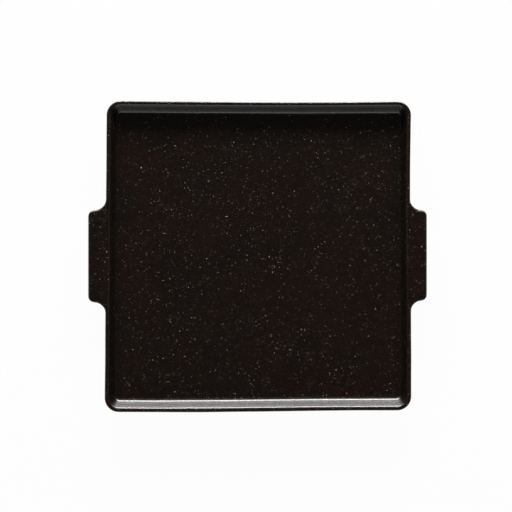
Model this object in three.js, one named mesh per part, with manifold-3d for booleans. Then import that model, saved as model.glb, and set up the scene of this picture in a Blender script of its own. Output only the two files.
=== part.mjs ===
// A square stoneware plate: a tray with a raised rim, a lug handle on each side and a foot ring.
// Millimetres, +Z up. The plate stands on z = 0 with its middle over the origin.
// +X points to the right lug and +Y to the back.
import * as THREE from "three";
import { mergeVertices } from "three/addons/utils/BufferGeometryUtils.js";
import Module from "manifold-3d";

// The tray.
const TRAY_WIDTH = 216.4;
const TRAY_DEPTH = 219.9;
const RIM_HEIGHT = 15;
const FLOOR_THICKNESS = 5.5;
const CORNER_RADIUS = 10;
const FLOOR_CORNER_RADIUS = 1;
const UNDER_CORNER_RADIUS = 2.7;

// The rim's section, from the outside to the floor. Leans are degrees from upright.
const OUTER_LEAN = 22;
const UNDER_EDGE_RADIUS = 4;
const LIP_OUTER_RADIUS = 0.7;

// Inside, the lip is flat between its two rounds, and each wall is full above and hollow below.
// A wall leans most where its rounds end, and least at the middle of its height.
const WALLS = {
  sides: { flat: 1.25, lipRadius: 1.2, lean: 34.5, middleLean: 31, coveRadius: 1.6 },
  front: { flat: 0.55, lipRadius: 2.7, lean: 44.5, middleLean: 35, coveRadius: 4.2 },
  back: { flat: 0.55, lipRadius: 2, lean: 44, middleLean: 33.5, coveRadius: 2.8 },
};

// The foot ring.
const FOOT_HEIGHT = 2.3;
const FOOT_INSET = 17;
const FOOT_CORNER_RADIUS = 14;
const FOOT_TREAD = 4.5;
const FOOT_DRAFT = 20;
const FOOT_EDGE_RADIUS = 0.8;

// The lugs. Each is set a little towards the back.
const LUG_REACH = 12;
const LEFT_LUG_LENGTH = 64;
const LEFT_LUG_SHIFT = 0.4;
const RIGHT_LUG_LENGTH = 63;
const RIGHT_LUG_SHIFT = 1.1;
const LUG_TAPER = 9;
const LUG_THICKNESS = 6.5;
const LUG_BELOW_LIP = 0.7;
const LUG_CORNER_RADIUS = 3.6;
const LUG_EDGE_RADIUS = 2;
const LUG_SIDE_FILLET = 6.5;
const LUG_UNDER_FILLET = 3;

// The slip that lutes a lug to the wall.
const SLIP_SEAM = 0.3;

// How far each corner of the hand-cut outline strays from a true rectangle.
const STRAY = {
  backLeft: new THREE.Vector2(1.4, 0.65),
  backRight: new THREE.Vector2(0.9, 0.25),
  frontLeft: new THREE.Vector2(-0.2, 0),
  frontRight: new THREE.Vector2(0.8, 1.1),
};

// How far each side strays outwards between its corners: once at its middle, and once each way.
const BOW = { back: -0.7, front: 0.25, left: 0.1, right: -0.6 };
const WAVE = { back: -0.1, front: -0.3, left: 0.1, right: -0.4 };
const BOW_FADE = 4;

// How finely the round stretches are drawn.
const CORNER_STEPS = 8;
const SIDE_STEPS = 10;
const ARC_STEPS = 6;
const LUG_SIDE_STEPS = 4;
const LUG_STEPS = 16;

const UNDERSIDE = FOOT_HEIGHT;
const FLOOR_TOP = UNDERSIDE + FLOOR_THICKNESS;
const HALF_WIDTH = TRAY_WIDTH / 2;
const HALF_DEPTH = TRAY_DEPTH / 2;
const RIGHT_ANGLE = 90;
const FULL_TURN = 360;

const wasm = await Module();
wasm.setup();

// Points on an arc in the plane of a section, from one angle to the other in degrees.
function arc(centre, radius, from, to, steps = ARC_STEPS) {
  const points = [];
  for (let step = 0; step <= steps; step += 1) {
    const angle = THREE.MathUtils.degToRad(from + ((to - from) * step) / steps);
    const spoke = new THREE.Vector2(Math.cos(angle), Math.sin(angle));
    points.push(spoke.multiplyScalar(radius).add(centre));
  }
  return points;
}

function tangent(degrees) {
  return Math.tan(THREE.MathUtils.degToRad(degrees));
}

// How far clay at a place in the plan has strayed from the true outline.
function strayAt(x, y) {
  const across = x / HALF_WIDTH;
  const along = y / HALF_DEPTH;
  const front = STRAY.frontLeft.clone().lerp(STRAY.frontRight, (1 + across) / 2);
  const back = STRAY.backLeft.clone().lerp(STRAY.backRight, (1 + across) / 2);
  const stray = front.lerp(back, (1 + along) / 2);
  const sideX = across < 0 ? "left" : "right";
  const sideY = along < 0 ? "front" : "back";
  const bend = (side, t) => BOW[side] * Math.cos((Math.PI * t) / 2) + WAVE[side] * Math.sin(Math.PI * t);
  stray.x += Math.sign(across) * bend(sideX, along) * Math.abs(across) ** BOW_FADE;
  stray.y += Math.sign(along) * bend(sideY, across) * Math.abs(along) ** BOW_FADE;
  return stray;
}

// Four arcs at the corners of a rectangle, joined by straight sides in a given number of steps.
function roundedRectangle(halfWidth, halfHeight, radius, arcSteps, sideSteps) {
  const arcCentre = new THREE.Vector2(halfWidth - radius, halfHeight - radius);
  const corners = [];
  for (let turn = 0; turn < FULL_TURN; turn += RIGHT_ANGLE) {
    const diagonal = THREE.MathUtils.degToRad(turn + RIGHT_ANGLE / 2);
    const quarter = new THREE.Vector2(Math.sign(Math.cos(diagonal)), Math.sign(Math.sin(diagonal)));
    corners.push(arc(quarter.multiply(arcCentre), radius, turn, turn + RIGHT_ANGLE, arcSteps));
  }
  const points = [];
  corners.forEach((corner, index) => {
    const next = corners[(index + 1) % corners.length];
    points.push(...corner);
    for (let step = 1; step < sideSteps; step += 1) {
      points.push(corner[arcSteps].clone().lerp(next[0], step / sideSteps));
    }
  });
  return points;
}

// A ring of clay at a height: the plate's outline drawn in by insets, with its hand-made stray.
function ring({ inset, height, radius }) {
  const halfWidth = HALF_WIDTH - inset.sides;
  const halfDepth = HALF_DEPTH - (inset.front + inset.back) / 2;
  const shift = (inset.front - inset.back) / 2;
  return roundedRectangle(halfWidth, halfDepth, radius, CORNER_STEPS, SIDE_STEPS).map((point) => {
    const stray = strayAt(point.x, point.y + shift);
    return new THREE.Vector3(point.x + stray.x, point.y + shift + stray.y, height);
  });
}

// An inset that is the same on every side.
function even(inset) {
  return { sides: inset, front: inset, back: inset };
}

// A skin over rings with equal counts of points. It is capped at both ends, or runs round to its start.
function loft(rings, closed = false) {
  const count = rings[0].length;
  const points = rings.flat();
  const triangles = [];
  const bands = closed ? rings.length : rings.length - 1;
  for (let band = 0; band < bands; band += 1) {
    const low = band * count;
    const high = ((band + 1) % rings.length) * count;
    for (let here = 0; here < count; here += 1) {
      const next = (here + 1) % count;
      triangles.push(low + here, low + next, high + next);
      triangles.push(low + here, high + next, high + here);
    }
  }
  const cap = (start, flip) => {
    const middle = new THREE.Vector3();
    const edge = points.slice(start, start + count);
    edge.forEach((point) => middle.addScaledVector(point, 1 / count));
    points.push(middle);
    for (let here = 0; here < count; here += 1) {
      const pair = [start + here, start + ((here + 1) % count)];
      triangles.push(points.length - 1, ...(flip ? pair.reverse() : pair));
    }
  };
  if (!closed) {
    cap(0, true);
    cap((rings.length - 1) * count, false);
  }
  const geometry = new THREE.BufferGeometry().setFromPoints(points);
  geometry.setIndex(triangles);
  return geometry;
}

// The centre of the round between a side that leans in as it falls and the level face at its foot.
function roundCentre(sideTop, lean, level, radius) {
  const turn = THREE.MathUtils.degToRad(lean);
  const fall = sideTop.y - level - radius * (1 - Math.sin(turn));
  return new THREE.Vector2(sideTop.x + fall * Math.tan(turn) + radius * Math.cos(turn), level + radius);
}

// The outside of the tray in section, as inset and height, from the underside up to the lip's top.
function outerSection() {
  const wallNormal = 2 * RIGHT_ANGLE + OUTER_LEAN;
  const lipCentre = new THREE.Vector2(LIP_OUTER_RADIUS, RIM_HEIGHT - LIP_OUTER_RADIUS);
  const lip = arc(lipCentre, LIP_OUTER_RADIUS, wallNormal, RIGHT_ANGLE);
  const edgeCentre = roundCentre(lip[0], OUTER_LEAN, UNDERSIDE, UNDER_EDGE_RADIUS);
  const edge = arc(edgeCentre, UNDER_EDGE_RADIUS, 3 * RIGHT_ANGLE, wallNormal);
  return [...edge, ...lip];
}

// The inside of a wall in section, as inset and height: from the lip's flat down to the floor.
function innerSection({ flat, lipRadius, lean, middleLean, coveRadius }) {
  const turn = THREE.MathUtils.degToRad(lean);
  const middleTurn = THREE.MathUtils.degToRad(middleLean);
  const rounds = (lipRadius + coveRadius) * (1 - Math.sin(turn));
  const bulge = (RIM_HEIGHT - FLOOR_TOP - rounds) / (2 * (Math.sin(turn) - Math.sin(middleTurn)));
  const lipCentre = new THREE.Vector2(LIP_OUTER_RADIUS + flat, RIM_HEIGHT - lipRadius);
  const lip = arc(lipCentre, lipRadius, RIGHT_ANGLE, lean);
  const toLip = new THREE.Vector2(Math.cos(turn), Math.sin(turn));
  const toMiddle = new THREE.Vector2(Math.cos(middleTurn), Math.sin(middleTurn));
  const fullCentre = lip.at(-1).clone().addScaledVector(toLip, -bulge);
  const full = arc(fullCentre, bulge, lean, middleLean).slice(1);
  const hollowCentre = full.at(-1).clone().addScaledVector(toMiddle, bulge);
  const hollow = arc(hollowCentre, bulge, 2 * RIGHT_ANGLE + middleLean, 2 * RIGHT_ANGLE + lean).slice(1);
  const coveCentre = hollow.at(-1).clone().addScaledVector(toLip, coveRadius);
  const cove = arc(coveCentre, coveRadius, 2 * RIGHT_ANGLE + lean, 3 * RIGHT_ANGLE).slice(1);
  return [...lip, ...full, ...hollow, ...cove];
}

// How far in a falling section is at a height.
function insetAt(section, height) {
  const found = section.findIndex((point) => point.y <= height);
  const below = section.at(found);
  const above = section.at(Math.max(found - 1, 0));
  const share = above.y > below.y ? (above.y - height) / (above.y - below.y) : 0;
  return THREE.MathUtils.lerp(above.x, below.x, share);
}

// The level rings of the rim's inside, whose corners tighten down to the edge of the floor.
// The front wall's section sets their heights.
function innerRings() {
  const sides = innerSection(WALLS.sides);
  const front = innerSection(WALLS.front);
  const back = innerSection(WALLS.back);
  return front.map(({ x, y }) => ({
    inset: { sides: insetAt(sides, y), front: x, back: insetAt(back, y) },
    height: y,
    radius: THREE.MathUtils.mapLinear(x, 0, front.at(-1).x, CORNER_RADIUS, FLOOR_CORNER_RADIUS),
  }));
}

// The level rings of the tray's outside, grown outwards by a distance.
// Their corners tighten from the outline down to the underside.
function outerRings(growth) {
  const section = outerSection();
  return section.map(({ x, y }) => ({
    inset: even(x - growth),
    height: y,
    radius: THREE.MathUtils.mapLinear(x, 0, section[0].x, CORNER_RADIUS, UNDER_CORNER_RADIUS) + growth,
  }));
}

// The tray is one skin from its underside over the lip to its floor.
function trayBody() {
  return loft([...outerRings(0), ...innerRings()].map(ring));
}

// The tray's outside grown by the slip seam and carried up past the lip, to scribe a lug's root.
function scribe() {
  const grown = outerRings(SLIP_SEAM);
  const above = RIM_HEIGHT + LUG_THICKNESS;
  grown.push({ inset: even(-SLIP_SEAM), height: above, radius: CORNER_RADIUS + SLIP_SEAM });
  return loft(grown.map(ring));
}

// The foot ring: a flat tread with eased edges, and sides that spread up to the tray's underside.
function footRing() {
  const seatOuter = new THREE.Vector2(FOOT_INSET, UNDERSIDE);
  const outer = roundCentre(seatOuter, FOOT_DRAFT, 0, FOOT_EDGE_RADIUS);
  const inner = new THREE.Vector2(outer.x + FOOT_TREAD, outer.y);
  const seatInner = new THREE.Vector2(inner.x + outer.x - seatOuter.x, UNDERSIDE);
  const innerEdge = arc(inner, FOOT_EDGE_RADIUS, -FOOT_DRAFT, -RIGHT_ANGLE);
  const outerEdge = arc(outer, FOOT_EDGE_RADIUS, -RIGHT_ANGLE, FOOT_DRAFT - 2 * RIGHT_ANGLE);
  const section = [seatOuter, seatInner, ...innerEdge, ...outerEdge];
  const rings = section.map(({ x, y }) => ({
    inset: even(x),
    height: y,
    radius: FOOT_CORNER_RADIUS + FOOT_INSET - x,
  }));
  return loft(rings.map(ring), true);
}

// How far a round of the given radius stands back at a distance from where it starts.
function setBack(radius, distance) {
  const left = Math.max(radius - Math.max(distance, 0), 0);
  return radius - Math.sqrt(radius ** 2 - left ** 2);
}

// A lug across its length, at a distance out from the wall: a slab's rounded end-on section.
function lugSection({ side, length, shift }, distance) {
  const fromTip = LUG_REACH - distance;
  const tipEasing = setBack(LUG_EDGE_RADIUS, fromTip);
  const top = RIM_HEIGHT - LUG_BELOW_LIP - tipEasing;
  const under = RIM_HEIGHT - LUG_BELOW_LIP - LUG_THICKNESS + tipEasing;
  const bottom = under - setBack(LUG_UNDER_FILLET, distance);
  const halfLength =
    length / 2 +
    fromTip * tangent(LUG_TAPER) -
    setBack(LUG_CORNER_RADIUS, fromTip) +
    setBack(LUG_SIDE_FILLET, distance);
  const middle = (top + bottom) / 2;
  const halfHeight = (top - bottom) / 2;
  const radius = Math.min(LUG_EDGE_RADIUS, halfHeight);
  const points = roundedRectangle(halfLength, halfHeight, radius, ARC_STEPS, LUG_SIDE_STEPS);
  const rootShare = THREE.MathUtils.clamp(fromTip / LUG_REACH, 0, 1);
  return points.map((point) => {
    const y = side * point.x + shift;
    const stray = strayAt(side * HALF_WIDTH, y).x * rootShare;
    return new THREE.Vector3(side * (HALF_WIDTH + distance) + stray, y, middle + point.y);
  });
}

// The distances out from the lip at which a lug's section is drawn: close together on its rounds.
// The first lies as far in as the underside's edge, so that the root can be scribed to the leaning wall.
function lugStations() {
  const stations = [-outerSection()[0].x];
  for (let step = 0; step <= LUG_STEPS; step += 1) {
    stations.push((LUG_REACH * (1 - Math.cos((Math.PI * step) / LUG_STEPS))) / 2);
  }
  return stations;
}

function solidFrom(geometry) {
  const merged = mergeVertices(geometry);
  return new wasm.Manifold(
    new wasm.Mesh({
      numProp: 3,
      vertProperties: merged.attributes.position.array,
      triVerts: new Uint32Array(merged.index.array),
    }),
  );
}

function geometryFrom(solid) {
  const mesh = solid.getMesh();
  const geometry = new THREE.BufferGeometry();
  geometry.setAttribute("position", new THREE.BufferAttribute(mesh.vertProperties, mesh.numProp));
  geometry.setIndex(new THREE.BufferAttribute(mesh.triVerts, 1));
  return geometry;
}

// A lug is a slab that swells towards its root, where it is scribed to the wall.
function lug(form) {
  const slab = loft(lugStations().map((distance) => lugSection(form, distance)));
  return geometryFrom(solidFrom(slab).subtract(solidFrom(scribe())));
}

const LEFT_LUG = { side: -1, length: LEFT_LUG_LENGTH, shift: LEFT_LUG_SHIFT };
const RIGHT_LUG = { side: 1, length: RIGHT_LUG_LENGTH, shift: RIGHT_LUG_SHIFT };
const GLAZE = { color: 0x1a1410, roughness: 0.4, metalness: 0 };
const BARE_CLAY = { color: 0x8a7058, roughness: 0.9, metalness: 0 };

function piece(name, geometry, finish) {
  geometry.computeVertexNormals();
  const mesh = new THREE.Mesh(geometry, new THREE.MeshStandardMaterial(finish));
  mesh.name = name;
  return mesh;
}

const plate = new THREE.Group();
plate.add(piece("tray_body", trayBody(), GLAZE));
plate.add(piece("left_lug", lug(LEFT_LUG), GLAZE));
plate.add(piece("right_lug", lug(RIGHT_LUG), GLAZE));
plate.add(piece("foot_ring", footRing(), BARE_CLAY));

export default plate;
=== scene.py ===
# %% [markdown]
# # A square stoneware plate with two lug handles
# The real plate is made in four steps. A sheet of clay is pressed into a tray with a raised rim, a handle slab
# is luted to each side, a low ring is added underneath, and a near-black glaze full of pale specks is melted on.
# This lesson follows the same order. It starts from the plate's solids, which fix every size and place.

# %% Load the solids
import math
from typing import NamedTuple

import bmesh
import bpy
from mathutils import Matrix, Vector, noise


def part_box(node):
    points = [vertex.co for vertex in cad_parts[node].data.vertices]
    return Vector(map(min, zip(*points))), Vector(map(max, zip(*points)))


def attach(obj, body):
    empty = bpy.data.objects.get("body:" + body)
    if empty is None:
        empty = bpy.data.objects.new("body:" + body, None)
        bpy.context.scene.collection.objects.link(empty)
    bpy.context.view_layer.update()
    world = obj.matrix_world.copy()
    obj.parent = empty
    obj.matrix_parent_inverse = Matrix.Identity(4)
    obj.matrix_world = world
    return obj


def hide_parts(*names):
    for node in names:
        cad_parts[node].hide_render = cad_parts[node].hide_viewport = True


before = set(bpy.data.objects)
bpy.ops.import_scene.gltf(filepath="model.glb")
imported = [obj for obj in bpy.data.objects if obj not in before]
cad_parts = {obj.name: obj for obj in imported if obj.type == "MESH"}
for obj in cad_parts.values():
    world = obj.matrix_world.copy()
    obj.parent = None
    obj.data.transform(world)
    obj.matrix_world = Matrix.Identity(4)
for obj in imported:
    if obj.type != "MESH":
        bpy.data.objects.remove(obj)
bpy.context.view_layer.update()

MM = 0.001
tray_low, tray_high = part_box("tray_body")
print("solids:", ", ".join(sorted(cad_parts)))

# %% [markdown]
# ## The hand-made outline
# No side of a pressed plate is quite straight and no corner quite square. A single function says how far clay has
# strayed at any place in the plan. Every piece is first made true, and then each of its points is moved by this
# function, so that pieces which touch stay together.

# %% How far the clay has strayed
HALF_WIDTH = 108.2 * MM
HALF_DEPTH = 109.95 * MM
CORNER_STRAY = {
    ("left", "back"): Vector((1.4, 0.65)) * MM,
    ("right", "back"): Vector((0.9, 0.25)) * MM,
    ("left", "front"): Vector((-0.2, 0.0)) * MM,
    ("right", "front"): Vector((0.8, 1.1)) * MM,
}
BOW = {"back": -0.7 * MM, "front": 0.32 * MM, "left": 0.1 * MM, "right": -0.6 * MM}
WAVE = {"back": -0.1 * MM, "front": -0.3 * MM, "left": 0.1 * MM, "right": -0.4 * MM}
BOW_FADE = 4


def bend(side, along):
    """How far a side leans out at a place from -1 to 1 along it."""
    return BOW[side] * math.cos(math.pi * along / 2) + WAVE[side] * math.sin(math.pi * along)


def stray(place):
    """How far the clay at a place in the plan has strayed from a true rectangle."""
    across = place.x / HALF_WIDTH
    along = place.y / HALF_DEPTH
    front = CORNER_STRAY["left", "front"].lerp(CORNER_STRAY["right", "front"], (1 + across) / 2)
    back = CORNER_STRAY["left", "back"].lerp(CORNER_STRAY["right", "back"], (1 + across) / 2)
    moved = front.lerp(back, (1 + along) / 2)
    moved.x += math.copysign(abs(across) ** BOW_FADE, across) * bend("left" if across < 0 else "right", along)
    moved.y += math.copysign(abs(along) ** BOW_FADE, along) * bend("front" if along < 0 else "back", across)
    return moved.to_3d()


print("back left corner strays in mm:", [round(d / MM, 2) for d in stray(Vector((-HALF_WIDTH, HALF_DEPTH)))])

# %% [markdown]
# ## The rim's section
# The rim is easiest to think of as a section: how far in from the outline, and how high. It climbs round the outer
# edge of the lip, crosses a narrow flat, rolls over the softer inner edge, runs down the leaning wall and turns
# through a cove on to the floor. A pressed wall is never quite straight: it is full above and hollow below, which
# draws two bright lines on it instead of one flat band. All of it is arcs, so only radii and leans are written down.
# The walls differ from side to side, so each ring of the tray keeps an inset for every side.

# %% Draw the section
FLOOR_THICKNESS = 5.5 * MM
LIP_OUTER_RADIUS = 0.7 * MM
UNDER_EDGE_RADIUS = 4 * MM
OUTER_LEAN = 22
ARC_STEPS = 10
WALL_STEPS = 4

rim_top = tray_high.z
underside = tray_low.z
floor_top = underside + FLOOR_THICKNESS


class Wall(NamedTuple):
    """The inside of one wall. Leans are degrees from upright, at the ends of its rounds and at mid-height."""
    flat: float
    lip_radius: float
    lean: float
    middle_lean: float
    cove_radius: float


class Ring(NamedTuple):
    """One ring of the tray: how far in from the outline it lies on each side, and how high."""
    sides: float
    front: float
    back: float
    height: float


SIDE_WALLS = Wall(1.25 * MM, 1.2 * MM, 34.5, 31, 1.6 * MM)
FRONT_WALL = Wall(0.6 * MM, 2.7 * MM, 44.5, 33, 4.2 * MM)
BACK_WALL = Wall(0.55 * MM, 2 * MM, 44, 31.5, 2.8 * MM)


def even_ring(point):
    """A ring that lies equally far in on every side."""
    return Ring(point.x, point.x, point.x, point.y)


def spoke(degrees):
    """A step of one unit in a section, at an angle from level."""
    return Vector((math.cos(math.radians(degrees)), math.sin(math.radians(degrees))))


def arc(centre, radius, start, end):
    """Points on a round of a section, from one angle to another in degrees."""
    return [centre + radius * spoke(start + (end - start) * step / ARC_STEPS) for step in range(ARC_STEPS + 1)]


def round_centre(side_top, lean, level, radius):
    """The centre of the round between a side that leans in as it falls and the level face at its foot."""
    turn = math.radians(lean)
    fall = side_top.y - level - radius * (1 - math.sin(turn))
    return Vector((side_top.x + fall * math.tan(turn) + radius * math.cos(turn), level + radius))


def inner_section(wall):
    """The inside of a wall, from the lip's flat down to the floor: lip, full part, hollow part and cove."""
    outward, steepest = spoke(wall.lean), spoke(wall.middle_lean)
    rounds = (wall.lip_radius + wall.cove_radius) * (1 - outward.y)
    bulge = (rim_top - floor_top - rounds) / (2 * (outward.y - steepest.y))
    lip_centre = Vector((LIP_OUTER_RADIUS + wall.flat, rim_top - wall.lip_radius))
    lip = arc(lip_centre, wall.lip_radius, 90, wall.lean)
    full = arc(lip[-1] - bulge * outward, bulge, wall.lean, wall.middle_lean)
    hollow = arc(full[-1] + bulge * steepest, bulge, 180 + wall.middle_lean, 180 + wall.lean)
    cove = arc(hollow[-1] + wall.cove_radius * outward, wall.cove_radius, 180 + wall.lean, 270)
    return lip + full[1:] + hollow[1:] + cove[1:]


def inset_at(section, height):
    """How far in a falling section is at a height."""
    for above, below in zip(section, section[1:]):
        if height >= below.y:
            return above.x + (below.x - above.x) * (above.y - height) / (above.y - below.y)
    return section[-1].x


outer_lip = arc(Vector((LIP_OUTER_RADIUS, rim_top - LIP_OUTER_RADIUS)), LIP_OUTER_RADIUS, 180, 90)
inside = [even_ring(point) for point in outer_lip]
wall_sections = [inner_section(wall) for wall in (SIDE_WALLS, FRONT_WALL, BACK_WALL)]
for level in [point.y for point in wall_sections[1]]:
    inside.append(Ring(*(inset_at(section, level) for section in wall_sections), level))

lip_band = LIP_OUTER_RADIUS * math.sin(math.radians(OUTER_LEAN))
wall_top = Vector((0, rim_top - LIP_OUTER_RADIUS - lip_band))
edge_centre = round_centre(wall_top, OUTER_LEAN, underside, UNDER_EDGE_RADIUS)
under_edge = arc(edge_centre, UNDER_EDGE_RADIUS, 180 + OUTER_LEAN, 270)
outer_wall = [wall_top.lerp(under_edge[0], step / WALL_STEPS) for step in range(WALL_STEPS)]
outside = [even_ring(point) for point in outer_wall + under_edge]
print("the floor starts in from the outline, in mm:", [round(inset / MM, 2) for inset in inside[-1][:3]])

# %% [markdown]
# ## The tray
# A potter starts from a flat sheet, and so does this cell. A one-face grid gets its corners rounded by a vertex
# bevel and becomes a thin band. The band's upper face is then inset again and again, a step along the section each
# time, up over the lip and down to the floor. The lower face makes the outside in the same way. An inset keeps the
# sides parallel and tightens the corners as it goes in, which is how the corners of the real plate run. Where the
# sides differ, the inset face is stretched and moved a little to suit.

# %% Tools for the tray
CORNER_RADIUS = 10 * MM
FLOOR_CORNER_RADIUS = 1 * MM
CORNER_STEPS = 16
SIDE_STEPS = 24
TINY = MM / 1000


def rounded_face(bm, half_width, half_depth, radius, level, corner_steps=CORNER_STEPS):
    """A level rectangle with rounded corners and evenly divided sides."""
    bmesh.ops.create_grid(bm, x_segments=1, y_segments=1, size=1)
    bmesh.ops.scale(bm, vec=(half_width, half_depth, 1), verts=bm.verts[:])
    bmesh.ops.translate(bm, vec=(0, 0, level), verts=bm.verts[:])
    bmesh.ops.bevel(bm, geom=bm.verts[:], offset=radius, offset_type="OFFSET", affect="VERTICES",
                    segments=corner_steps, profile=0.5, material=-1)
    sides = [edge for edge in bm.edges if edge.calc_length() > radius]
    bmesh.ops.subdivide_edges(bm, edges=sides, cuts=SIDE_STEPS - 1)
    return bm.faces[:][0]


def walk_in(bm, face, rings, tighten=1):
    """Insets a level face from ring to ring, tightening its corners by a share, and fits it to each ring's sides."""
    for here, there in zip(rings, rings[1:]):
        inset = tighten * (there.front + there.back - here.front - here.back) / 2
        rise = math.copysign(1, face.normal.z) * (there.height - here.height)
        bmesh.ops.inset_individual(bm, faces=[face], thickness=inset, depth=rise, use_even_offset=True)
        wider = (HALF_WIDTH - there.sides) / (HALF_WIDTH - here.sides - inset)
        deeper = (HALF_DEPTH - (there.front + there.back) / 2) / (HALF_DEPTH - (here.front + here.back) / 2 - inset)
        to_middle = Matrix.Translation((0, (here.back - here.front) / 2, 0))
        to_ring = Matrix.Translation((0, (there.front - there.back) / 2, 0)) @ Matrix.Diagonal((wider, deeper, 1, 1))
        bmesh.ops.transform(bm, matrix=to_ring @ to_middle, verts=face.verts[:])


def cut_level_face(bm, face):
    """Cuts a level face into squares through the points of its back side and of its right side."""
    planes = []
    for normal, side in ((Vector((1, 0, 0)), 1), (Vector((0, 1, 0)), 0)):
        far = max(vert.co[side] for vert in face.verts)
        planes += [(vert.co.copy(), normal) for vert in face.verts if vert.co[side] > far - TINY]
    parts = [face]
    for place, normal in planes:
        geom = {part for face in parts for part in (face, *face.edges, *face.verts)}
        cut = bmesh.ops.bisect_plane(bm, geom=list(geom), dist=TINY, plane_co=place, plane_no=normal)
        parts = [part for part in cut["geom"] if isinstance(part, bmesh.types.BMFace)]
    return parts


# %% Press the tray
tray = bmesh.new()
sheet = rounded_face(tray, HALF_WIDTH, HALF_DEPTH, CORNER_RADIUS, wall_top.y)
band = bmesh.ops.extrude_face_region(tray, geom=[sheet], use_keep_orig=True)["geom"]
bmesh.ops.translate(tray, vec=(0, 0, lip_band), verts=[part for part in band if isinstance(part, bmesh.types.BMVert)])
tray.normal_update()
upper, lower = sorted((face for face in tray.faces if len(face.verts) > 4), key=lambda face: -face.normal.z)
floor_inset = (inside[-1].front + inside[-1].back) / 2
walk_in(tray, upper, inside, tighten=(CORNER_RADIUS - FLOOR_CORNER_RADIUS) / floor_inset)
walk_in(tray, lower, outside)
floor_faces = cut_level_face(tray, upper)
cut_level_face(tray, lower)
print("tray:", len(tray.faces), "faces, of which the floor has", len(floor_faces))

# %% [markdown]
# ## A hand on the clay
# The outline's stray is not all. A finger that smooths a rim leaves it a little lower here and a little thinner
# there. Slow noise moves each point along its own normal by about a tenth of a millimetre, mostly inwards so that the
# tray stays in the box of the solids, and lets the lip dip in places. It is real shape and not shading, so the long
# highlight on the wall wavers as it does on the real plate.

# %% Make the tray uneven
UNEVEN = 0.14 * MM
UNEVEN_SPAN = 24 * MM
LIP_DIP = 0.3 * MM
LIP_DIP_SPAN = 70 * MM


def smooth_step(value, low, high):
    """0 below low, 1 above high, and a soft change between."""
    share = min(max((value - low) / (high - low), 0), 1)
    return share * share * (3 - 2 * share)


def lip_dip(place):
    """How far a finger has pressed the lip down at a place in the plan."""
    return LIP_DIP * (1 + noise.noise(place.xy.to_3d() / LIP_DIP_SPAN)) / 2


def smooth_by_hand(bm):
    """Moves the points of a true tray to where a hand has left them."""
    bm.normal_update()
    for vert in bm.verts:
        place = vert.co.copy()
        above_foot = smooth_step(place.z, underside, floor_top)
        up_the_wall = smooth_step(place.z, floor_top, rim_top)
        vert.co += stray(place)
        vert.co += vert.normal * UNEVEN * above_foot * (noise.noise(place / UNEVEN_SPAN) - 0.5)
        vert.co.z -= lip_dip(place) * up_the_wall


smooth_by_hand(tray)
print("the lip's highest point is at", round(max(v.co.z for v in tray.verts) / MM, 2), "mm")

# %% [markdown]
# ## Where the glaze runs thin
# Molten glaze draws back from sharp outward edges, and the brown clay shows through there. On a slope it runs and
# sets smooth, and where it lies level it keeps its pits. The script measures how sharply the surface turns outwards
# at each point and how level it lies, and keeps both as attributes, thin and level, which the glaze material reads.
# Measuring the mesh, rather than painting a line, gives the lip and the lugs the same treatment. A mesh can come out
# of its making inside out, so each one is turned if its volume comes out below nothing.

# %% Measure the edges and finish a piece
SHARP_TURN = 1.3 / MM
SOFT_TURN = 0.55 / MM
THIN_BLURS = 2
LEVEL_RANGE = (math.cos(math.radians(30)), math.cos(math.radians(10)))


def outward_turn(edge):
    """How sharply the surface turns outwards over an edge, as one over a radius."""
    if len(edge.link_faces) != 2:
        return 0
    first, second = edge.link_faces
    apart = (first.calc_center_median() - second.calc_center_median()).length
    return edge.calc_face_angle_signed(0) / max(apart, MM / 100)


def mark_glaze(bm):
    """Keeps on each point how thin the glaze is there and how level it lies, both from 0 to 1."""
    thin = bm.verts.layers.float.new("thin")
    level = bm.verts.layers.float.new("level")
    bm.normal_update()
    for vert in bm.verts:
        turn = max(outward_turn(edge) for edge in vert.link_edges)
        vert[thin] = smooth_step(turn, SOFT_TURN, SHARP_TURN)
        vert[level] = smooth_step(vert.normal.z, *LEVEL_RANGE)
    for blur in range(THIN_BLURS):
        near = {vert: [edge.other_vert(vert)[thin] for edge in vert.link_edges] for vert in bm.verts}
        for vert, values in near.items():
            vert[thin] = (vert[thin] + sum(values) / len(values)) / 2


def finish_piece(bm, name, slot, material, *nodes):
    """Turns a bmesh into a smooth object that stands for the solids it replaces."""
    bmesh.ops.recalc_face_normals(bm, faces=bm.faces[:])
    if bm.calc_volume(signed=True) < 0:
        bmesh.ops.reverse_faces(bm, faces=bm.faces[:])
    mark_glaze(bm)
    mesh = bpy.data.meshes.new(name)
    bm.to_mesh(mesh)
    bm.free()
    mesh.polygons.foreach_set("use_smooth", [True] * len(mesh.polygons))
    mesh.materials.append(material)
    piece = bpy.data.objects.new(name, mesh)
    bpy.context.scene.collection.objects.link(piece)
    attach(piece, "root")
    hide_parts(*nodes)
    corners = [Vector(corner) for corner in piece.bound_box]
    size = [(max(c[axis] for c in corners) - min(c[axis] for c in corners)) / MM for axis in range(3)]
    print(name, "is", [round(length, 1) for length in size], "mm, in", len(mesh.polygons), "faces")
    return piece


# %% [markdown]
# ## Shader sums
# A material here is a set of nodes, and most of them do plain sums. This small class stands for one socket, so that
# a sum can be written as a sum: adding two wires makes an Add node and joins them up. Any other node comes from its
# node method, which sets the node's options first and then its sockets.

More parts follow.
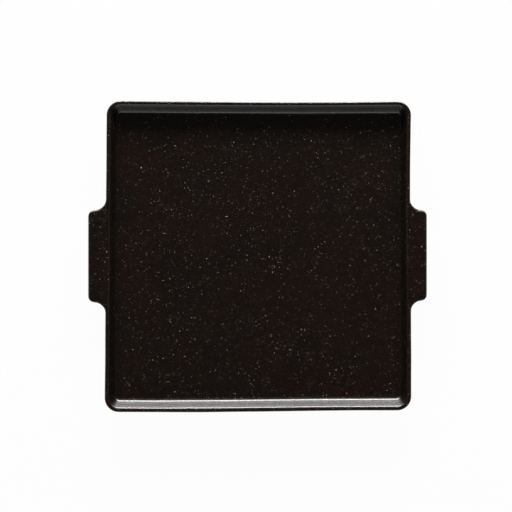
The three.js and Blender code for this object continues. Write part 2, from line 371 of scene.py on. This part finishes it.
# %% A wire that can be added and multiplied
class Wire:
    """One socket of a material's nodes."""

    def __init__(self, tree, socket=None):
        self.tree = tree
        self.socket = socket

    def node(self, kind, settings=None, inputs=None, output=0):
        """Makes a node with its options, its values or links, and returns one of its outputs."""
        made = self.tree.nodes.new(kind)
        for name, value in (settings or {}).items():
            setattr(made, name, value)
        for name, value in (inputs or {}).items():
            if isinstance(value, Wire):
                self.tree.links.new(value.socket, made.inputs[name])
            else:
                made.inputs[name].default_value = value
        return Wire(self.tree, made.outputs[output])

    def beside(self, output):
        """Another output of the node that this wire comes from."""
        return Wire(self.tree, self.socket.node.outputs[output])

    def math(self, operation, *values, clamp=False):
        settings = {"operation": operation, "use_clamp": clamp}
        return self.node("ShaderNodeMath", settings, dict(enumerate(values)))

    def __add__(self, other):
        return self.math("ADD", self, other)

    def __sub__(self, other):
        return self.math("SUBTRACT", self, other)

    def __rsub__(self, other):
        return self.math("SUBTRACT", other, self)

    def __mul__(self, other):
        return self.math("MULTIPLY", self, other)

    def __truediv__(self, other):
        return self.math("DIVIDE", self, other)

    def __pow__(self, other):
        return self.math("POWER", self, other)

    __radd__ = __add__
    __rmul__ = __mul__

    def clamped(self):
        """The wire's value, kept between 0 and 1."""
        return self.math("ADD", self, 0, clamp=True)

    def step(self, low, high):
        """0 below low, 1 above high, and a soft change between."""
        settings = {"interpolation_type": "SMOOTHSTEP"}
        return self.node("ShaderNodeMapRange", settings, {"Value": self, "From Min": low, "From Max": high})

    def mix(self, none, full):
        """Two colours mixed by this wire."""
        return self.node("ShaderNodeMix", {"data_type": "RGBA"}, {0: self, 6: none, 7: full}, 2)


def new_material(name):
    """An empty material, the wire that starts its nodes and its output node."""
    material = bpy.data.materials.new(name)
    material.use_nodes = True
    material.node_tree.nodes.clear()
    wire = Wire(material.node_tree)
    output = wire.tree.nodes.new("ShaderNodeOutputMaterial")
    return material, wire, output


def colour(red, green, blue):
    """A colour as it looks on a screen, from 0 to 255, turned into the linear values that a shader takes."""
    shares = [part / 255 for part in (red, green, blue)]
    linear = [share / 12.92 if share <= 0.04045 else ((share + 0.055) / 1.055) ** 2.4 for share in shares]
    return (*linear, 1)


print("a screen colour of 26, 20, 16 is", [round(part, 4) for part in colour(26, 20, 16)], "in a shader")

# %% [markdown]
# ## The glaze
# The glaze is near black, warmed by iron. It clouds slowly between reddish brown and greenish black, it is full of
# pale grains of the clay's own mineral, and it breaks to brown on sharp edges. The grains are small spheres scattered
# through space, and the surface cuts through them as it does through real grit, so their sizes vary by themselves.
# Level glaze is full of fine pits, which spread each highlight and give a satin skin. On the walls it has run smooth
# and covers most of the grains, so the highlights there are crisp lines. The walls are also coloured darker the less
# level they lie, which is painted shade that keeps the side walls dark.

# %% Parts of the glaze
CLOUD_SIZE = 38 * MM
MOTTLE_SIZE = 5 * MM
GRIT_SIZE = 0.7 * MM
PIT_SIZE = 1.6 * MM
BLACK_GLAZE = colour(22, 16, 8)
BROWN_GLAZE = colour(33, 15, 8)
GRIT_DARK = colour(9, 5, 3)
# painted shade: a darker glaze colour laid on the slopes so that the walls stay dark
SLOPE_SHADE_GLAZE = colour(9, 6, 3)
THIN_GLAZE = colour(58, 40, 29)
DIM_SPECK = colour(92, 78, 68)
PALE_SPECK = colour(232, 220, 208)


def noise_wire(wire, place, size, detail=2):
    """Soft noise with features of a given size."""
    return wire.node("ShaderNodeTexNoise", None, {"Vector": place, "Scale": 1 / size, "Detail": detail})


def grains(wire, place, spacing, smallest, largest):
    """Round grains scattered through space: where they are, and a chance value for each."""
    cells = wire.node("ShaderNodeTexVoronoi", None, {"Vector": place, "Scale": 1 / spacing})
    chances = wire.node("ShaderNodeSeparateColor", None, {"Color": cells.beside("Color")})
    radius = chances ** 3 * ((largest - smallest) / spacing) + smallest / spacing
    edge = (radius - cells) / (radius * 0.5)
    return edge.clamped(), chances.beside("Green")


# %% The glaze material
glaze, wire, output = new_material("glaze")
place = wire.node("ShaderNodeTexCoord", output="Object")
thin = wire.node("ShaderNodeAttribute", {"attribute_name": "thin"}, output="Fac")
level = wire.node("ShaderNodeAttribute", {"attribute_name": "level"}, output="Fac")
clouds = noise_wire(wire, place, CLOUD_SIZE).step(0.35, 0.65)
mottle = noise_wire(wire, place, MOTTLE_SIZE)
grit = noise_wire(wire, place, GRIT_SIZE)
pits = noise_wire(wire, place, PIT_SIZE)
speck, chance = grains(wire, place, 1.2 * MM, 0.1 * MM, 0.41 * MM)
body_colour = (clouds * 0.6 + mottle.step(0.3, 0.7) * 0.4).mix(BLACK_GLAZE, BROWN_GLAZE)
body_colour = (grit.step(0.4, 0.62) * 0.85).mix(body_colour, GRIT_DARK)
# painted shade: the less level the glaze lies, the darker its colour, which darkens the walls
body_colour = ((1 - level) * 0.7).mix(body_colour, SLOPE_SHADE_GLAZE)
edge_colour = (thin * (0.55 + 0.45 * mottle)).mix(body_colour, THIN_GLAZE)
speck_colour = (chance ** 3).mix(DIM_SPECK, PALE_SPECK)
full_colour = (speck * (0.25 + 0.75 * level)).mix(edge_colour, speck_colour)
roughness = 0.22 + 0.06 * mottle + 0.04 * level * grit
relief = (0.02 + 0.98 * level) * (0.6 * pits + 0.4 * grit - 0.5) + 0.03 * level * speck
bump = wire.node("ShaderNodeBump", None, {"Strength": 1, "Distance": 0.5 * MM, "Height": relief})
shader = wire.node("ShaderNodeBsdfPrincipled", None, {
    "Base Color": full_colour, "Roughness": roughness, "IOR": 1.55, "Normal": bump,
})
wire.tree.links.new(shader.socket, output.inputs["Surface"])
print("glaze:", len(wire.tree.nodes), "nodes")

# %% Glaze the tray
finish_piece(tray, "glazed_tray", "glaze", glaze, "tray_body")

# %% [markdown]
# ## The lugs
# Each handle is a slab about as thick as a pencil. It tapers towards its tip, its edges are rounded,
# and it swells into the wall at its root. It is made like a pulled handle: an end-on face inside the wall is extruded
# outwards in short steps, and each new face is fitted to the section that the lug has at that distance.

# %% Sections of a lug
LUG_LENGTH = {"left": 64 * MM, "right": 63 * MM}
LUG_SHIFT = {"left": 0.4 * MM, "right": 1.1 * MM}
LUG_TAPER = 9
LUG_CORNER_RADIUS = 3.6 * MM
LUG_EDGE_RADIUS = 2 * MM
LUG_SIDE_FILLET = 6.5 * MM
LUG_UNDER_FILLET = 3 * MM
LUG_THICKNESS = 6.5 * MM
LUG_BELOW_LIP = 0.7 * MM
LUG_STEPS = 28
ROOT_DEPTH = 1.2 * MM
ROOT_STEPS = 4

lug_top = rim_top - LUG_BELOW_LIP
lug_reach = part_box("right_lug")[1].x - HALF_WIDTH


def set_back(radius, distance):
    """How far a round stands back at a distance from where it starts."""
    left = max(radius - max(distance, 0), 0)
    return radius - math.sqrt(radius ** 2 - left ** 2)


def lug_section(side, distance):
    """Half the length, the top and the bottom of a lug at a distance out from the lip."""
    from_tip = lug_reach - distance
    easing = set_back(LUG_EDGE_RADIUS, from_tip)
    half_length = LUG_LENGTH[side] / 2 + from_tip * math.tan(math.radians(LUG_TAPER))
    half_length += set_back(LUG_SIDE_FILLET, distance) - set_back(LUG_CORNER_RADIUS, from_tip)
    bottom = lug_top - LUG_THICKNESS + easing - set_back(LUG_UNDER_FILLET, distance)
    return half_length, lug_top - easing, bottom


def fit_to_section(side, distance):
    """The matrix that takes a square two units wide to the lug's section at a distance."""
    half_length, top, bottom = lug_section(side, distance)
    place = Matrix.Translation((HALF_WIDTH + distance, 0, (top + bottom) / 2))
    return place @ Matrix.Diagonal((1, half_length, (top - bottom) / 2, 1))


print("lug: reach", round(lug_reach / MM, 1), "mm, thickness", round(LUG_THICKNESS / MM, 1), "mm")

# %% Pull a lug
LIP_BLEND = {"left": (-0.9 * MM, 3 * MM), "right": (-0.7 * MM, 2.2 * MM)}
ROOT_SINK = 0.04 * MM


def pull_lug(side):
    """A lug that points along +X, with its root inside the wall."""
    bm = bmesh.new()
    half_length, top, bottom = lug_section(side, -ROOT_DEPTH)
    end = rounded_face(bm, half_length, (top - bottom) / 2, LUG_EDGE_RADIUS, 0, corner_steps=8)
    stand_up = Matrix(((0, 0, 1, 0), (1, 0, 0, 0), (0, 1, 0, 0), (0, 0, 0, 1)))
    bmesh.ops.transform(bm, matrix=stand_up, verts=bm.verts[:])
    bmesh.ops.translate(bm, vec=(HALF_WIDTH - ROOT_DEPTH, 0, (top + bottom) / 2), verts=bm.verts[:])
    stations = [-ROOT_DEPTH * (1 - step / ROOT_STEPS) for step in range(ROOT_STEPS)]
    stations += [lug_reach * (1 - math.cos(math.pi * step / LUG_STEPS)) / 2 for step in range(LUG_STEPS + 1)]
    for here, there in zip(stations, stations[1:]):
        end = bmesh.ops.extrude_discrete_faces(bm, faces=[end])["faces"][0]
        to_next = fit_to_section(side, there) @ fit_to_section(side, here).inverted()
        bmesh.ops.transform(bm, matrix=to_next, verts=end.verts[:])
    bmesh.ops.holes_fill(bm, edges=[edge for edge in bm.edges if edge.is_boundary])
    return bm


def lute_lug(bm, side):
    """Moves a pulled lug to its side, presses its root to the wall and smooths its top into the lip."""
    sign = 1 if side == "right" else -1
    blend_start, blend_end = LIP_BLEND[side]
    for vert in bm.verts:
        distance = vert.co.x - HALF_WIDTH
        half_length, top, bottom = lug_section(side, distance)
        up = min(max((vert.co.z - bottom) / (top - bottom), 0), 1)
        if distance < TINY - ROOT_DEPTH:
            vert.co.x -= (rim_top - vert.co.z) * math.tan(math.radians(OUTER_LEAN))
        raised = (LUG_BELOW_LIP - ROOT_SINK) * (1 - smooth_step(distance, blend_start, blend_end))
        along = sign * vert.co.y + LUG_SHIFT[side]
        wall = Vector((sign * HALF_WIDTH, along))
        held = min(max(1 - distance / lug_reach, 0), 1)
        vert.co.z += (raised - lip_dip(wall)) * up
        vert.co.xy = sign * vert.co.x + stray(wall).x * held, along


for side in ("left", "right"):
    lug = pull_lug(side)
    lute_lug(lug, side)
    finish_piece(lug, f"glazed_{side}_lug", "glaze", glaze, f"{side}_lug")

# %% [markdown]
# ## The bare clay of the foot
# A glazed foot would weld itself to the kiln shelf, so the ring that the plate stands on is wiped clean. Bare
# stoneware is matt and sandy, toasted darker where the glaze stops, with scattered dark iron spots.

# %% The clay material
CLAY = colour(138, 113, 90)
CLAY_PALE = colour(160, 136, 110)
CLAY_TOASTED = colour(96, 64, 42)
IRON = colour(58, 40, 30)
SAND_SIZE = 0.45 * MM

bare_clay, wire, output = new_material("bare_clay")
place = wire.node("ShaderNodeTexCoord", output="Object")
height = wire.node("ShaderNodeSeparateXYZ", None, {"Vector": place}, "Z")
sand = noise_wire(wire, place, SAND_SIZE)
patches = noise_wire(wire, place, MOTTLE_SIZE * 3)
iron, chance = grains(wire, place, 2.2 * MM, 0.08 * MM, 0.35 * MM)
toasted = (height + (patches - 0.5) * (1.2 * MM)).step(underside * 0.45, underside)
clay_colour = (patches * 0.5 + sand * 0.5).step(0.3, 0.7).mix(CLAY, CLAY_PALE)
clay_colour = (toasted * 0.85).mix(clay_colour, CLAY_TOASTED)
clay_colour = (iron * (0.4 + 0.6 * chance)).mix(clay_colour, IRON)
bump = wire.node("ShaderNodeBump", None, {"Strength": 0.6, "Distance": 0.12 * MM, "Height": sand + patches * 0.3})
shader = wire.node("ShaderNodeBsdfPrincipled", None, {
    "Base Color": clay_colour, "Roughness": 0.82 + 0.14 * sand, "IOR": 1.45, "Normal": bump,
})
wire.tree.links.new(shader.socket, output.inputs["Surface"])
print("bare clay:", len(wire.tree.nodes), "nodes")

# %% [markdown]
# ## The foot ring
# The ring starts as a level face with a window. Insetting its border inwards while pushing it down gives both sloping
# sides in one step, a bevel eases the two edges of the tread, and bridging the open loops closes the seat.

# %% Turn the foot ring
FOOT_INSET = 17 * MM
FOOT_WIDTH = 7.3 * MM
FOOT_CORNER_RADIUS = 14 * MM
FOOT_DRAFT = 20
FOOT_EDGE_EASING = 0.56 * MM
FOOT_EDGE_STEPS = 5

foot = bmesh.new()
window = rounded_face(foot, HALF_WIDTH - FOOT_INSET, HALF_DEPTH - FOOT_INSET, FOOT_CORNER_RADIUS, underside)
bmesh.ops.reverse_faces(foot, faces=[window])
foot.normal_update()
ring = bmesh.ops.inset_individual(foot, faces=[window], thickness=FOOT_WIDTH, use_even_offset=True)["faces"]
bmesh.ops.delete(foot, geom=[window], context="FACES")
bmesh.ops.inset_region(foot, faces=ring, thickness=underside * math.tan(math.radians(FOOT_DRAFT)), depth=underside,
                       use_boundary=True, use_even_offset=True)
tread = {edge for face in ring for edge in face.edges}
tread_edges = [edge for edge in tread if sum(face in ring for face in edge.link_faces) == 1]
bmesh.ops.bevel(foot, geom=tread_edges, offset=FOOT_EDGE_EASING, offset_type="OFFSET", affect="EDGES",
                segments=FOOT_EDGE_STEPS, profile=0.5, material=-1)
bmesh.ops.bridge_loops(foot, edges=[edge for edge in foot.edges if edge.is_boundary])
for vert in foot.verts:
    vert.co += stray(vert.co)
finish_piece(foot, "bare_foot_ring", "bare_clay", bare_clay, "foot_ring")

# %% [markdown]
# ## The studio
# A pale floor carries the plate. To the camera, and in reflections, most of its brightness is its own, so that it
# reads as clean white paper, and the rest is lit, so that the plate still casts a soft shadow. Seen from below the
# floor is clear, which lets the foot be looked at.

# %% Lay the floor
FLOOR_REACH = 12
FLOOR_GAP = 0.02 * MM
OWN_LIGHT = 0.97

paper, wire, output = new_material("white_paper")
path = wire.node("ShaderNodeLightPath")
seen = (path + path.beside("Is Glossy Ray") + path.beside("Is Transmission Ray")).clamped()
matt = wire.node("ShaderNodeBsdfDiffuse", None, {"Color": (0.85, 0.85, 0.85, 1)})
own = wire.node("ShaderNodeEmission", None, {"Color": (1, 1, 1, 1), "Strength": 1})
lit = wire.node("ShaderNodeMixShader", None, {0: seen * OWN_LIGHT, 1: matt, 2: own})
below = wire.node("ShaderNodeNewGeometry", output="Backfacing")
clear = wire.node("ShaderNodeBsdfTransparent")
paper_shader = wire.node("ShaderNodeMixShader", None, {0: below, 1: lit, 2: clear})
wire.tree.links.new(paper_shader.socket, output.inputs["Surface"])

bm = bmesh.new()
bmesh.ops.create_grid(bm, x_segments=1, y_segments=1, size=FLOOR_REACH)
bmesh.ops.translate(bm, vec=(0, 0, -FLOOR_GAP), verts=bm.verts[:])
floor_mesh = bpy.data.meshes.new("paper_floor")
bm.to_mesh(floor_mesh)
bm.free()
floor_mesh.materials.append(paper)
floor = bpy.data.objects.new("paper_floor", floor_mesh)
bpy.context.scene.collection.objects.link(floor)
print("floor:", 2 * FLOOR_REACH, "m across")

# %% [markdown]
# ## The light
# One softbox behind the plate does nearly all the work. Its reflections in the front wall are the two bright lines
# that show the plate's depth. A weaker wing on each side carries them round the corners and leaves the side walls
# dark. A weak card in front answers on the back wall. The room is dark, because a dark glaze shows whatever stands
# around it. Each lamp is given a brightness and a size, and its power follows.

# %% Set the lamps and the room
ROOM_LOW = 0.03
ROOM_MIDDLE = 0.08
ROOM_TOP = 0.045
HORIZON = 0.1


def softbox(name, elevation, distance, width, height, brightness, azimuth=0):
    """A flat lamp that faces the plate. Azimuth 0 is behind the plate, and 180 in front of it."""
    lamp = bpy.data.lights.new(name, "AREA")
    lamp.shape = "RECTANGLE"
    lamp.size = width
    lamp.size_y = height
    lamp.energy = brightness * math.pi * width * height
    lift, turn = math.radians(elevation), math.radians(azimuth)
    away = Vector((math.sin(turn) * math.cos(lift), math.cos(turn) * math.cos(lift), math.sin(lift)))
    holder = bpy.data.objects.new(name, lamp)
    holder.location = away * distance
    holder.rotation_euler = away.to_track_quat("Z", "Y").to_euler()
    holder.visible_camera = False
    bpy.context.scene.collection.objects.link(holder)
    print(name, "at", [round(part, 2) for part in holder.location], "m,", round(lamp.energy, 1), "W")


softbox("back_softbox", 16.4, 2.5, 1.8, 0.51, 42)
softbox("left_wing", 16.4, 2.5, 0.75, 0.51, 12, azimuth=-29)
softbox("right_wing", 16.4, 2.5, 0.75, 0.51, 12, azimuth=29)
softbox("front_card", 16.4, 2.5, 3.0, 0.51, 3.5, azimuth=180)

world = bpy.data.worlds.new("studio")
world.use_nodes = True
world.node_tree.nodes.clear()
wire = Wire(world.node_tree)
path = wire.node("ShaderNodeLightPath")
seen = (path + path.beside("Is Glossy Ray") + path.beside("Is Transmission Ray")).clamped()
direction = wire.node("ShaderNodeTexCoord", output="Generated")
height = wire.node("ShaderNodeSeparateXYZ", None, {"Vector": direction}, "Z")
backdrop = seen * (1 - height.step(HORIZON * 0.6, HORIZON))
walls = ROOM_LOW + (ROOM_MIDDLE - ROOM_LOW) * height.step(0.4, 0.6) * (1 - height.step(0.8, 0.95))
walls = walls + (ROOM_TOP - ROOM_LOW) * height.step(0.8, 0.95)
strength = backdrop + (1 - backdrop) * walls
room = wire.node("ShaderNodeBackground", None, {"Color": (1, 1, 1, 1), "Strength": strength})
sky = wire.tree.nodes.new("ShaderNodeOutputWorld")
wire.tree.links.new(room.socket, sky.inputs["Surface"])
bpy.context.scene.world = world

# %% [markdown]
# ## The camera
# The plate is seen from straight above with a long lens, so its walls hardly splay. The camera's height follows from
# the lens and from how much of the floor the picture covers.

# %% Hang the camera
PICTURE_WIDTH = 362.7 * MM
LENS = 135
SENSOR = 36
AIM = Vector((-1.06, 0.64, 0)) * MM

camera_data = bpy.data.cameras.new("overhead_camera")
camera_data.lens = LENS
camera_data.sensor_width = SENSOR
camera = bpy.data.objects.new("overhead_camera", camera_data)
camera.location = AIM + Vector((0, 0, rim_top + PICTURE_WIDTH * LENS / SENSOR))
bpy.context.scene.collection.objects.link(camera)
bpy.context.scene.camera = camera
bpy.context.scene.view_settings.view_transform = "Standard"
print("camera", round(camera.location.z, 3), "m above the table")
